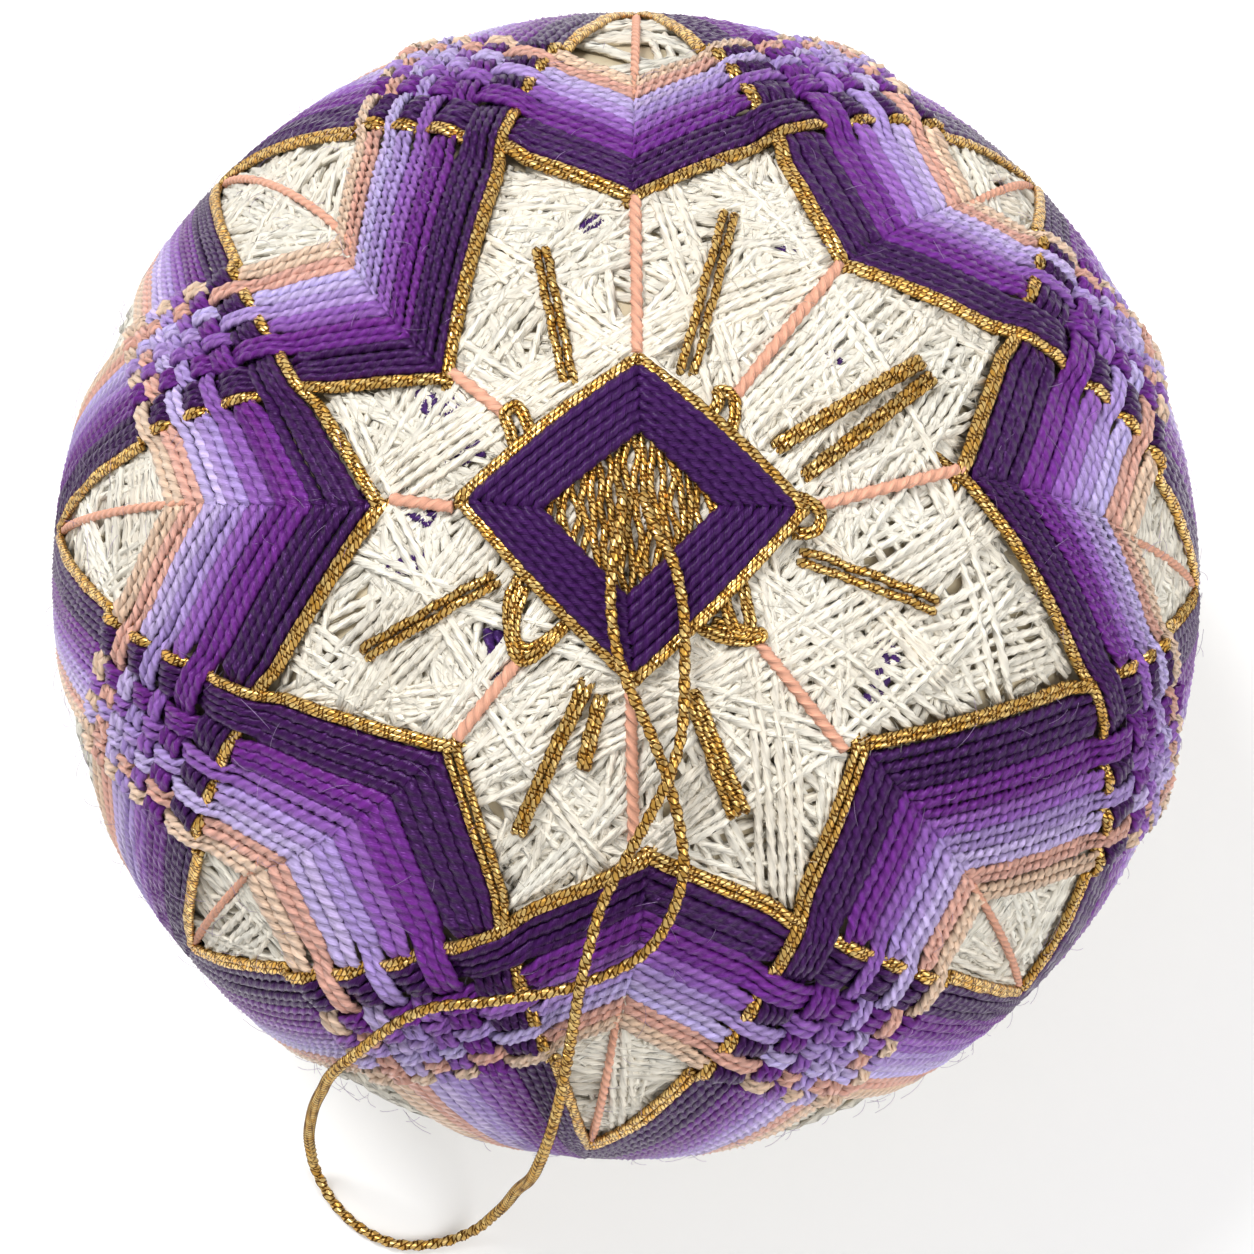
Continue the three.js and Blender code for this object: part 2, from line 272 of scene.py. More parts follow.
def angles(units):
    azimuth = np.degrees(np.arctan2(units[..., 1], units[..., 0])) % 360
    colatitude = np.degrees(np.arccos(np.clip(units[..., 2], -1, 1)))
    return azimuth, colatitude


def lift(units, height):
    heights = np.broadcast_to(height, units.shape[:-1])
    return units * (BALL_RADIUS + heights)[..., None] + CENTRE


def blend(start, end, share):
    return unit(mix(start, end, np.asarray(share)[..., None]))


def smooth_curve(points, steps):
    """A centripetal Catmull-Rom curve through the points."""
    points = np.asarray(points, float)
    before = 2 * points[0] - points[1]
    after = 2 * points[-1] - points[-2]
    knots = np.vstack([before, points, after])
    share = (np.arange(steps) / steps)[:, None]
    curve = []
    for first in range(len(knots) - 3):
        p0, p1, p2, p3 = knots[first:first + 4]
        d0, d1, d2 = np.sqrt(np.linalg.norm(np.diff(knots[first:first + 4], axis=0), axis=1))
        leave = ((p1 - p0) / d0 - (p2 - p0) / (d0 + d1) + (p2 - p1) / d1) * d1
        reach = ((p2 - p1) / d1 - (p3 - p1) / (d1 + d2) + (p3 - p2) / d2) * d1
        bend = -3 * p1 + 3 * p2 - 2 * leave - reach
        twist = 2 * p1 - 2 * p2 + leave + reach
        curve.append(p1 + leave * share + bend * share ** 2 + twist * share ** 3)
    return np.vstack([*curve, points[-1]])


def even_steps(points, step):
    """The same polyline with points about one step apart."""
    length = np.concatenate([[0], np.cumsum(np.linalg.norm(np.diff(points, axis=0), axis=1))])
    count = max(3, round(length[-1] / step) + 1)
    places = np.linspace(0, length[-1], count)
    return np.stack([np.interp(places, length, column) for column in points.T], axis=1)


def wander(count, size, waves):
    """A slow smooth wobble of about that size with that many waves."""
    place = np.linspace(0, 2 * np.pi, count)
    phases = random.uniform(0, 2 * np.pi, 3)
    speeds = waves * random.uniform(0.5, 1.5, 3)
    return size * np.sin(np.outer(place, speeds) + phases).sum(axis=1) / 2


# Materials


def linear(code):
    """A colour written as #rrggbb, as linear red, green and blue."""
    shares = [int(code[place:place + 2], 16) / 255 for place in (1, 3, 5)]
    return [share / 12.92 if share <= 0.04045 else ((share + 0.055) / 1.055) ** 2.4 for share in shares]


def gloss_colour(code):
    """The colour of a dyed thread's highlights, from its own brightest tone towards white."""
    shares = linear(code)
    return [mix(share / max(shares), 1, GLOSS_WHITENESS) for share in shares]


class Nodes:
    """Short ways to add and link the nodes of one material."""

    def __init__(self, name):
        self.material = bpy.data.materials.new(name)
        self.material.use_nodes = True
        self.tree = self.material.node_tree
        self.shader = self.tree.nodes["Principled BSDF"]

    def add(self, kind, settings=None, **inputs):
        node = self.tree.nodes.new(kind)
        for key, value in (settings or {}).items():
            setattr(node, key, value)
        for key, value in inputs.items():
            self.put(node.inputs[int(key[1:])] if key[1:].isdigit() else node.inputs[key], value)
        return node

    def put(self, socket, value):
        if isinstance(value, bpy.types.NodeSocket):
            self.tree.links.new(value, socket)
        else:
            socket.default_value = value

    def math(self, operation, first, second=0.0):
        return self.add("ShaderNodeMath", {"operation": operation}, i0=first, i1=second).outputs[0]

    def colour_mix(self, kind, share, first, second):
        node = self.add("ShaderNodeMix", {"data_type": "RGBA", "blend_type": kind})
        self.put(node.inputs["Factor"], share)
        self.put(node.inputs[6], first)
        self.put(node.inputs[7], second)
        return node.outputs[2]

    def thread_place(self):
        """Distance along the thread in millimetres, and the share of a turn round it."""
        coordinates = self.add("ShaderNodeUVMap", {"uv_map": "thread"})
        parts = self.add("ShaderNodeSeparateXYZ", i0=coordinates.outputs[0])
        return parts.outputs[0], parts.outputs[1]

    def bump(self, height, strength, distance):
        node = self.add("ShaderNodeBump", Strength=strength, Distance=distance * MM, Height=height)
        self.put(self.shader.inputs["Normal"], node.outputs[0])


def thread_material(name, colour, roughness=0.29, sheen=0.03, ply_shade_strength=0.55, mottle=0.35):
    """Soft two-ply thread: fine fibres along it, painted shade between its plies, a little uneven in its dye.
    """
    nodes = Nodes(name)
    along, turn = nodes.thread_place()
    plies = nodes.math("COSINE", nodes.math("MULTIPLY", turn, 4 * math.pi))
    ply_shade_share = nodes.math("MULTIPLY_ADD", plies, -0.5)
    nodes.put(ply_shade_share.node.inputs[2], 0.5)
    place = nodes.add("ShaderNodeCombineXYZ", X=nodes.math("MULTIPLY", along, 0.6))
    nodes.put(place.inputs[1], nodes.math("MULTIPLY", turn, 12.0))
    fibres = nodes.add("ShaderNodeTexNoise", {"noise_dimensions": "2D"}, Vector=place.outputs[0], Scale=1.6)
    where = nodes.add("ShaderNodeTexCoord")
    dye = nodes.add("ShaderNodeTexNoise", Vector=where.outputs["Object"], Scale=140.0)
    tint = nodes.add("ShaderNodeVertexColor", {"layer_name": "tint"})
    base = nodes.colour_mix("MULTIPLY", 1.0, tint.outputs[0], (*linear(colour), 1))
    # painted shade: the thread's colour is darkened to 0.3 of itself towards the waists between its plies
    ply_shade_colour = [share * 0.3 for share in linear(colour)]
    shaded = nodes.colour_mix("MIX", nodes.math("MULTIPLY", ply_shade_share, ply_shade_strength), base, (*ply_shade_colour, 1))
    pale = [min(1, share * 1.5 + 0.01) for share in linear(colour)]
    streaks = nodes.math("MULTIPLY", fibres.outputs[0], mottle * 2)
    streaked = nodes.colour_mix("MIX", nodes.math("MULTIPLY", streaks, dye.outputs[0]), shaded, (*pale, 1))
    nodes.put(nodes.shader.inputs["Base Color"], streaked)
    nodes.shader.inputs["Roughness"].default_value = roughness
    nodes.shader.inputs["Specular IOR Level"].default_value = SPECULAR_LEVEL
    nodes.shader.inputs["Coat Weight"].default_value = COAT_WEIGHT if roughness < DULL_ROUGHNESS else 0.0
    nodes.shader.inputs["Coat Roughness"].default_value = COAT_ROUGHNESS
    nodes.shader.inputs["Specular Tint"].default_value = (*gloss_colour(colour), 1)
    nodes.shader.inputs["Sheen Weight"].default_value = sheen
    nodes.shader.inputs["Sheen Roughness"].default_value = 0.4
    ridge = nodes.math("ADD", fibres.outputs[0], nodes.math("MULTIPLY", plies, 0.6))
    nodes.bump(ridge, 0.75, 0.12)
    return nodes.material


def gold_material(name, bead=0.62):
    """Metallic braid: rows of bright flat marks along it as painted glints, with brown between them as
    painted shade.
    """
    nodes = Nodes(name)
    along, turn = nodes.thread_place()
    place = nodes.add("ShaderNodeCombineXYZ", X=nodes.math("MULTIPLY", along, 1 / bead))
    nodes.put(place.inputs[1], nodes.math("MULTIPLY", turn, 4.0))
    # painted glints: pale gold marks mixed at random with gold; painted shade: the dark brown mortar between
    # them
    glint_dashes = nodes.add(
        "ShaderNodeTexBrick",
        {"offset": 0.5, "squash": 1.0},
        Vector=place.outputs[0],
        Scale=1.0,
        Color1=(*linear("#f6d68c"), 1),
        Color2=(*linear("#e0aa4c"), 1),
        Mortar=(*linear("#5e390a"), 1),
    )
    glint_dashes.inputs["Mortar Size"].default_value = 0.16
    glint_dashes.inputs["Mortar Smooth"].default_value = 0.6
    glint_dashes.inputs["Brick Width"].default_value = 1.0
    glint_dashes.inputs["Row Height"].default_value = 1.0
    where = nodes.add("ShaderNodeTexCoord")
    # random darker brown patches in the braid's colour
    brown_patches = nodes.add("ShaderNodeTexNoise", Vector=where.outputs["Object"], Scale=900.0)
    tint = nodes.add("ShaderNodeVertexColor", {"layer_name": "tint"})
    base = nodes.colour_mix("MULTIPLY", 1.0, tint.outputs[0], glint_dashes.outputs[0])
    brown_share = nodes.math("MULTIPLY", brown_patches.outputs[0], 0.3)
    patched = nodes.colour_mix("MIX", brown_share, base, (*linear("#7a4c10"), 1))
    nodes.put(nodes.shader.inputs["Base Color"], patched)
    nodes.shader.inputs["Metallic"].default_value = 0.85
    nodes.shader.inputs["Roughness"].default_value = 0.3
    nodes.bump(nodes.math("MULTIPLY", glint_dashes.outputs["Fac"], -1.0), 0.8, 0.12)
    return nodes.material


def core_material(name):
    """Deep layers of wound thread between the turns that lie over them, coloured a darker tan as painted
    shade.
    """
    nodes = Nodes(name)
    where = nodes.add("ShaderNodeTexCoord")
    grain = nodes.add("ShaderNodeTexNoise", Vector=where.outputs["Object"], Scale=700.0, Detail=4.0)
    # painted shade: tans darker than the cream turns, so the gaps between the turns look shadowed
    base = nodes.colour_mix("MIX", grain.outputs[0], (*linear("#b0a083"), 1), (*linear("#d9ccb0"), 1))
    nodes.put(nodes.shader.inputs["Base Color"], base)
    nodes.shader.inputs["Roughness"].default_value = 0.95
    nodes.bump(grain.outputs[0], 0.6, 0.4)
    return nodes.material


# Threads as joined meshes


class ThreadMesh:
    """Tubes of thread gathered into one mesh, each with its tint and coordinates along the thread."""

    def __init__(self, sides=6):
        self.sides = sides
        self.vertices = []
        self.loops = []
        self.sizes = []
        self.places = []
        self.tints = []
        self.count = 0

    def add(self, points, wide, tall=None, ups=None, turns=0.0, lobes=0.0, tint=(1, 1, 1)):
        points = np.asarray(points, float)
        stations = len(points)
        wide = np.broadcast_to(wide, stations)
        tall = wide if tall is None else np.broadcast_to(tall, stations)
        tangents = unit(np.gradient(points, axis=0))
        asides = unit(np.cross(tangents, unit(points - CENTRE) if ups is None else ups))
        ups = np.cross(asides, tangents)
        length = np.concatenate([[0], np.cumsum(np.linalg.norm(np.diff(points, axis=0), axis=1))])
        around = np.arange(self.sides) / self.sides
        turn = 2 * np.pi * (around[None, :] + turns * length[:, None] + random.random())
        swell = 1 + lobes * np.cos(4 * np.pi * around)
        across = (np.cos(turn) * swell * wide[:, None])[..., None] * asides[:, None]
        height = (np.sin(turn) * swell * tall[:, None])[..., None] * ups[:, None]
        self.vertices.append((points[:, None] + across + height).reshape(-1, 3))
        here = self.count + np.arange(stations * self.sides).reshape(stations, self.sides)
        beside = np.roll(here, -1, axis=1)
        quads = np.stack([here[:-1], here[1:], beside[1:], beside[:-1]], axis=-1)
        self.loops.append(np.concatenate([quads.ravel(), here[0], here[-1][::-1]]))
        self.sizes.append(np.concatenate([np.full(quads.size // 4, 4), [self.sides, self.sides]]))
        start = np.broadcast_to(length[:-1, None], quads.shape[:2])
        end = np.broadcast_to(length[1:, None], quads.shape[:2])
        low = np.broadcast_to(around, quads.shape[:2])
        high = low + 1 / self.sides
        sides = np.stack([start, low, end, low, end, high, start, high], axis=-1).reshape(-1, 2)
        first_cap = np.full((self.sides, 2), (0, 0.5))
        last_cap = np.full((self.sides, 2), (length[-1], 0.5))
        caps = np.concatenate([first_cap, last_cap])
        self.places.append(np.concatenate([sides, caps]))
        self.tints.append(np.broadcast_to((*tint, 1), (stations * self.sides, 4)))
        self.count += stations * self.sides

    def piece(self, name, material, slot, *nodes):
        mesh = bpy.data.meshes.new(name)
        vertices = np.concatenate(self.vertices)
        vertices[:, 2] = np.maximum(vertices[:, 2], 0)
        loops = np.concatenate(self.loops)
        sizes = np.concatenate(self.sizes)
        mesh.vertices.add(len(vertices))
        mesh.vertices.foreach_set("co", (vertices * MM).ravel())
        mesh.loops.add(len(loops))
        mesh.loops.foreach_set("vertex_index", loops.astype(np.int32))
        mesh.polygons.add(len(sizes))
        mesh.polygons.foreach_set("loop_start", np.concatenate([[0], np.cumsum(sizes)[:-1]]).astype(np.int32))
        mesh.polygons.foreach_set("use_smooth", np.ones(len(sizes), bool))
        mesh.update(calc_edges=True)
        layer = mesh.uv_layers.new(name="thread")
        layer.data.foreach_set("uv", np.concatenate(self.places).ravel())
        tint = mesh.color_attributes.new("tint", "FLOAT_COLOR", "POINT")
        tint.data.foreach_set("color", np.concatenate(self.tints).ravel())
        mesh.materials.append(material)
        return dress(bpy.data.objects.new(name, mesh), slot, *nodes)


def dress(piece, slot, *nodes):
    bpy.context.scene.collection.objects.link(piece)
    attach(piece, "root")
    if nodes:
        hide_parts(*nodes)
    return piece


def shade(spread=0.08, warm=0.0):
    """A thread's own tint: a little lighter or darker than the next, and warmer or cooler."""
    level = 1 + random.normal(0, spread)
    drift = random.normal(0, warm)
    return (level * (1 + drift), level, level * (1 - drift))


# Camera


def add_camera():
    tilt = math.radians(VIEW_TILT)
    azimuth = math.radians(VIEW_AZIMUTH)
    back = np.array([math.sin(tilt) * math.cos(azimuth), math.sin(tilt) * math.sin(azimuth), math.cos(tilt)])
    north = np.array([0.0, 1.0, 0.0])
    up = unit(north - north @ back * back)
    right = np.cross(up, back)
    pixel = VIEW_DISTANCE / FOCAL_PIXELS
    aim = CENTRE - (right * BALL_RIGHT_OF_MIDDLE + up * BALL_ABOVE_MIDDLE) * pixel
    eye = CENTRE + back * VIEW_DISTANCE
    back = unit(eye - aim)
    right = unit(np.cross(up, back))
    up = np.cross(back, right)
    data = bpy.data.cameras.new("camera")
    data.sensor_width = SENSOR_WIDTH
    data.lens = SENSOR_WIDTH * FOCAL_PIXELS / PHOTO_PIXELS
    data.clip_start = 0.01
    data.clip_end = 20
    camera = bpy.data.objects.new("camera", data)
    columns = np.stack([right, up, back, eye * MM], axis=1)
    camera.matrix_world = Matrix([*columns.tolist(), [0, 0, 0, 1]])
    bpy.context.scene.collection.objects.link(camera)
    bpy.context.scene.camera = camera


# Hanging loop


def add_hanging_loop(gold):
    step = 0.3
    path = even_steps(smooth_curve(CORD_ROUTE, 30), step)
    tangents = unit(np.gradient(path, axis=0))
    ups = [np.array([1.0, 0.0, 0.0])]
    for tangent in tangents[1:]:
        ups.append(unit(ups[-1] - ups[-1] @ tangent * tangent))
    cord = ThreadMesh(sides=10)
    cord.add(path, CORD_RADIUS * 0.87, ups=np.array(ups), turns=0.42, lobes=0.15)
    piece = cord.piece("loop_cord", gold, "gold_thread", "hanging_loop")


# Star band

GUIDE_GOLD = np.array([guide["gold"] for guide in GUIDES], float)
GUIDE_RIM = np.array([guide["rim"] for guide in GUIDES], float)
GUIDE_CROSS = np.array([guide["cross"] for guide in GUIDES], float)
GUIDE_CROSS_RIM = np.array([guide["meet_az"] for guide in GUIDES], float)
GUIDE_TIP = np.array([guide["tip_az"] for guide in GUIDES], float)

# Two arms cross between each guide line and the next: one comes down from either line
LOWER = np.arange(len(GUIDES))
HIGHER = (LOWER + 1) % len(GUIDES)
ARM_TOP = np.concatenate([LOWER, HIGHER])
ARM_TIP = np.concatenate([HIGHER, LOWER])
OVER_FIRST = np.concatenate([-np.ones(len(GUIDES)), np.ones(len(GUIDES))])

ROW_COUNT = sum(group["rows"] for group in GROUPS)
ROW_PITCH = (1 - EDGE_SHARE) / ROW_COUNT
ROW_GROUP = np.repeat(np.arange(len(GROUPS)), [group["rows"] for group in GROUPS])
ROW_ACROSS = EDGE_SHARE + ROW_PITCH * (np.arange(ROW_COUNT) + 0.5)
GROUP_ENDS = EDGE_SHARE + ROW_PITCH * np.cumsum([group["rows"] for group in GROUPS])
GROUP_STARTS = np.concatenate([[0], GROUP_ENDS[:-1]])
GROUP_MIDDLES = (GROUP_STARTS + GROUP_ENDS) / 2


def band_direction(top, tip, across, along):
    """Where a row lies: from its turn near the pole, through the crossing, to its turn below the equator."""
    between = np.where((top + 1) % len(GUIDES) == tip, top, tip)
    start_az = mix(GUIDE_GOLD[top, 0], GUIDE_RIM[top, 0], across)
    start = direction(start_az, mix(GUIDE_GOLD[top, 1], GUIDE_RIM[top, 1], across))
    middle_az = mix(GUIDE_CROSS[between, 0], GUIDE_CROSS_RIM[between], across)
    middle = direction(middle_az, GUIDE_CROSS[between, 1] + CROSSING_WIDTH * across)
    end = direction(GUIDE_TIP[tip], TIP_COLATITUDE + TIP_WIDTH * across)
    along = np.asarray(along)[..., None]
    start_share = (along - CROSSING_AT) * (along - 1) / CROSSING_AT
    middle_share = along * (along - 1) / (CROSSING_AT * (CROSSING_AT - 1))
    end_share = along * (along - CROSSING_AT) / (1 - CROSSING_AT)
    return unit(start * start_share + middle * middle_share + end * end_share)


def place_in_other_arm(top, tip, across, along):
    """Across and along of every row's points in the arm that crosses it, found outwards from the crossing."""
    nudge = 1e-4
    shape = (*across.shape, len(along))
    found_across = np.empty(shape)
    found_along = np.empty(shape)
    first = int(np.argmin(abs(along - CROSSING_AT)))
    for stations in (range(first, len(along)), range(first, -1, -1)):
        other_across = across.copy()
        other_along = np.full(across.shape, CROSSING_AT)
        for station in stations:
            target = band_direction(top, tip, across, along[station])
            for _ in range(3):
                guess = band_direction(tip, top, other_across, other_along)
                by_across = (band_direction(tip, top, other_across + nudge, other_along) - guess) / nudge
                by_along = (band_direction(tip, top, other_across, other_along + nudge) - guess) / nudge
                error = target - guess
                aa = (by_across * by_across).sum(-1)
                ab = (by_across * by_along).sum(-1)
                bb = (by_along * by_along).sum(-1)
                ea = (by_across * error).sum(-1)
                eb = (by_along * error).sum(-1)
                scale = aa * bb - ab * ab
                other_across = np.clip(other_across + (ea * bb - eb * ab) / scale, -0.5, 1.5)
                other_along = np.clip(other_along + (eb * aa - ea * ab) / scale, -0.2, 1.1)
            miss = np.linalg.norm(target - band_direction(tip, top, other_across, other_along), axis=-1)
            found_across[..., station] = np.where(miss < LARGEST_MISS, other_across, NOT_CROSSED)
            found_along[..., station] = other_along
    return found_across, found_along


def group_number(across):
    """Which colour group lies there: a whole number in the middle of each group."""
    ends = np.concatenate([[-GROUP_ENDS[0], 0], GROUP_ENDS, [2 - GROUP_ENDS[-2]]])
    return np.interp(across, ends, np.arange(len(ends)) - 1.5)


def band_rows(row_across, row_group, along, radius, overshoot):
    """Centre lines and half widths of the rows of all sixteen arms, woven through each other."""
    top = ARM_TOP[:, None]
    tip = ARM_TIP[:, None]
    across = np.broadcast_to(row_across, (len(ARM_TOP), len(row_across))).copy()
    across += random.normal(0, 0.08 * ROW_PITCH, across.shape)
    met_across, met_along = place_in_other_arm(top, tip, across, along)
    met = group_number(met_across)
    inside = smooth(met, -0.95, -0.4) * (1 - smooth(met, 6.4, 6.9))
    inside *= smooth(met_along, -0.03, 0.02) * (1 - smooth(met_along, 0.98, 1.02))
    group = row_group[None, :, None]
    wave = OVER_FIRST[:, None, None] * np.cos(np.pi * (met + group))
    wave = np.clip(1.5 * wave, -1, 1)
    drawn = across[..., None] + np.zeros_like(met)
    drawn += (GROUP_MIDDLES[group] - drawn) * GROUP_SQUEEZE * inside
    units = band_direction(top[..., None], tip[..., None], drawn, along)
    nudge = 1e-3
    beside = band_direction(top[..., None], tip[..., None], drawn + nudge, along)
    tangents = unit(np.gradient(units, axis=2))
    apart = (beside - units) / nudge
    apart -= (apart * tangents).sum(-1, keepdims=True) * tangents
    spacing = np.linalg.norm(apart, axis=-1) * BALL_RADIUS * ROW_PITCH
    wide = np.clip(0.61 * spacing * (1 - GROUP_SQUEEZE * inside), 0.75 * radius, 1.7 * radius)
    height = radius * (1 + inside * (1 + wave))
    rise = smooth(along, -overshoot, 0.4 * overshoot)
    fall = smooth(along, 1 - 0.4 * overshoot, 1 + overshoot)
    dive = 1 - rise * (1 - fall)
    height = height - 1.1 * dive
    return units, height, wide


def along_steps(overshoot):
    before = math.ceil((CROSSING_AT + overshoot) / ALONG_STEP)
    after = math.ceil((1 + overshoot - CROSSING_AT) / ALONG_STEP)
    return CROSSING_AT + ALONG_STEP * np.arange(-before, after + 1)


def add_star_band(gold):
    overshoot = 0.02
    along = along_steps(overshoot)
    units, heights, wide = band_rows(ROW_ACROSS, ROW_GROUP, along, THREAD_RADIUS, overshoot)
    for number, group in enumerate(GROUPS):
        mesh = ThreadMesh(sides=6)
        for arm in range(len(ARM_TOP)):
            for row in np.flatnonzero(ROW_GROUP == number):
                height = heights[arm, row] + wander(len(along), 0.04, 6)
                points = lift(units[arm, row], height)
                mesh.add(
                    points,
                    wide[arm, row],
                    THREAD_RADIUS * THREAD_FLATNESS,
                    turns=THREAD_TURNS,
                    lobes=THREAD_LOBES,
                    tint=shade(0.1, 0.02),
                )
        material = thread_material(f"thread_{group['name']}", group["colour"])
        nodes = ("star_band",) if number == 0 else ()
        mesh.piece(f"band_{group['name']}", material, "band_thread", *nodes)
    add_band_edge(gold)


def add_band_edge(gold):
    overshoot = 0.045
    along = along_steps(overshoot)
    group = np.zeros(len(GOLD_ROWS), int)
    units, heights, wide = band_rows(np.array(GOLD_ROWS), group, along, GOLD_RADIUS, overshoot)
    mesh = ThreadMesh(sides=6)
    for arm in range(len(ARM_TOP)):
        for row in range(len(GOLD_ROWS)):
            height = heights[arm, row] + 0.2 + wander(len(along), 0.05, 8)
            mesh.add(lift(units[arm, row], height), GOLD_RADIUS, turns=0.5, lobes=0.1, tint=shade(0.08))
    mesh.piece("band_gold_edge", gold, "gold_thread")


# Pole square


def add_pole_square(gold):
    purple = thread_material("thread_square", "#2d0540", roughness=0.45)
    rows = ThreadMesh(sides=6)
    edge = ThreadMesh(sides=6)
    along = np.linspace(-0.035, 1.035, 44)
    bow = 0.004 * np.sin(np.pi * np.clip(along, 0, 1))
    dive = 1.2 * (1 - smooth(along, -0.03, 0.02) * (1 - smooth(along, 0.98, 1.03)))
    for index, corner in enumerate(PURPLE_CORNERS):
        following = PURPLE_CORNERS[(index + 1) % len(PURPLE_CORNERS)]
        starts = direction(*corner["outer"]), direction(*corner["inner"])
        ends = direction(*following["outer"]), direction(*following["inner"])
        for share in [*((np.arange(PURPLE_ROWS) + 0.5) / PURPLE_ROWS), -0.045, -0.13]:
            line = blend(blend(*starts, share), blend(*ends, share), along)
            line = unit(line + bow[:, None] * (1 - share) * unit(line * (1, 1, 0)))
            if share > 0:
                height = SQUARE_HEIGHT - dive + wander(len(along), 0.04, 3)
                points = lift(line, height)
                rows.add(points, 0.4, 0.38, turns=THREAD_TURNS, lobes=THREAD_LOBES, tint=shade(0.1))
            else:
                height = 0.95 - dive + wander(len(along), 0.04, 3)
                edge.add(lift(line, height), GOLD_RADIUS, turns=0.5, lobes=0.1, tint=shade())
    rows.piece("square_purple", purple, "square_thread", "pole_square")
    edge.piece("square_gold_edge", gold, "gold_thread")
    add_gold_fill(gold)


def add_gold_fill(gold):
    fill = ThreadMesh(sides=6)
    upper_right, upper_left, lower_left, lower_right = [direction(*corner) for corner in GOLD_CORNERS]
    along = np.linspace(0, 1, 46)
    for row in range(GOLD_FILL_ROWS):
        share = (row + 0.5) / GOLD_FILL_ROWS
        top = blend(upper_left, upper_right, share)
        foot = blend(lower_left, lower_right, share)
        line = blend(top, foot, along)
        line[:, 0] += wander(len(along), 0.005, 4)
        line = line[abs(line[:, 0]) + abs(line[:, 1]) < GOLD_FILL_REACH]
        if len(line) < 6:
            continue
        place = np.linspace(0, 1, len(line))
        end = smooth(place, 0, 0.03) * (1 - smooth(place, 0.97, 1))
        height = GOLD_FILL_HEIGHT + random.uniform(-0.15, 0.15) + wander(len(line), 0.1, 5) - 0.9 * (1 - end)
        fill.add(lift(unit(line), height), 0.27, turns=0.5, lobes=0.1, tint=shade(0.15))
    fill.piece("square_gold_fill", gold, "gold_thread")


def add_gold_loops(gold):
    mesh = ThreadMesh(sides=6)
    for route in GOLD_LOOPS:
        line = unit(smooth_curve(direction(*np.array(route, float).T), 12))
        aside = unit(np.cross(np.gradient(line, axis=0), line))
        place = np.linspace(0, 1, len(line))
        tuck = smooth(place, 0, 0.15) * (1 - smooth(place, 0.85, 1))
        for shift in (-0.2, 0.2):
            height = 0.3 + 0.4 * tuck + wander(len(line), 0.08, 3)
            mesh.add(lift(unit(line + aside * shift / BALL_RADIUS), height), 0.24, turns=0.5, lobes=0.1)
    mesh.piece("square_gold_loops", gold, "gold_thread")


# Straight gold stitches


def add_gold_stitches(gold):
    along = np.linspace(0, 1, 40)
    for number, stitch in enumerate(STITCHES, start=1):
        mesh = ThreadMesh(sides=6)
        start = direction(*stitch["inner"])
        end = direction(*stitch["outer"])
        aside = unit(np.cross(start, end))
        width = mix(stitch["inner_width"], stitch["outer_width"], along) / BALL_RADIUS
        strands = 3 if stitch["outer_width"] > 1.5 else 2
        for place in np.linspace(-0.5, 0.5, strands):
            line = blend(start, end, along) + (place * width * 0.55)[:, None] * aside
            line = unit(line + wander(len(along), 0.0012, 3)[:, None] * aside)
            tuck = smooth(along, 0, 0.05) * (1 - smooth(along, 0.95, 1))
            height = 0.62 + wander(len(along), 0.06, 3) - 0.7 * (1 - tuck)
            mesh.add(lift(line, height), 0.33, turns=0.45, lobes=0.12, tint=shade())
        mesh.piece(f"stitch_{number}", gold, "gold_thread", f"gold_stitch_{number}")


# Wound thread


def straight_edge(corners, azimuth):
    """Colatitude at that azimuth of the straight sides between the corners of a star round the pole."""
    corners = corners[np.argsort(corners[:, 0])]
    after = np.searchsorted(corners[:, 0], azimuth) % len(corners)
    start_az, start = corners[after - 1].T
    end_az, end = corners[after].T
    wide = np.sin(np.radians(end_az - start_az))
    left = np.sin(np.radians(azimuth - start_az))
    right = np.sin(np.radians(end_az - azimuth))
    return start * end * wide / (start * left + end * right)


def star_edge(azimuth):
    """Colatitude of the star's gold edge, which bounds the wound thread that shows round the pole."""
    return straight_edge(np.concatenate([GUIDE_GOLD, GUIDE_CROSS]), azimuth)


def south_edge(azimuth):
    """Colatitude of the band's peach edge, which bounds the wound thread underneath."""
    tips = np.stack([GUIDE_TIP % 360, np.full(len(GUIDES), TIP_COLATITUDE + TIP_WIDTH)], axis=1)
    meets = np.stack([GUIDE_CROSS_RIM % 360, GUIDE_CROSS[:, 1] + CROSSING_WIDTH], axis=1)
    corners = np.concatenate([tips, meets])
    corners = corners[np.argsort(corners[:, 0])]
    return np.interp(azimuth, corners[:, 0], corners[:, 1], period=360)


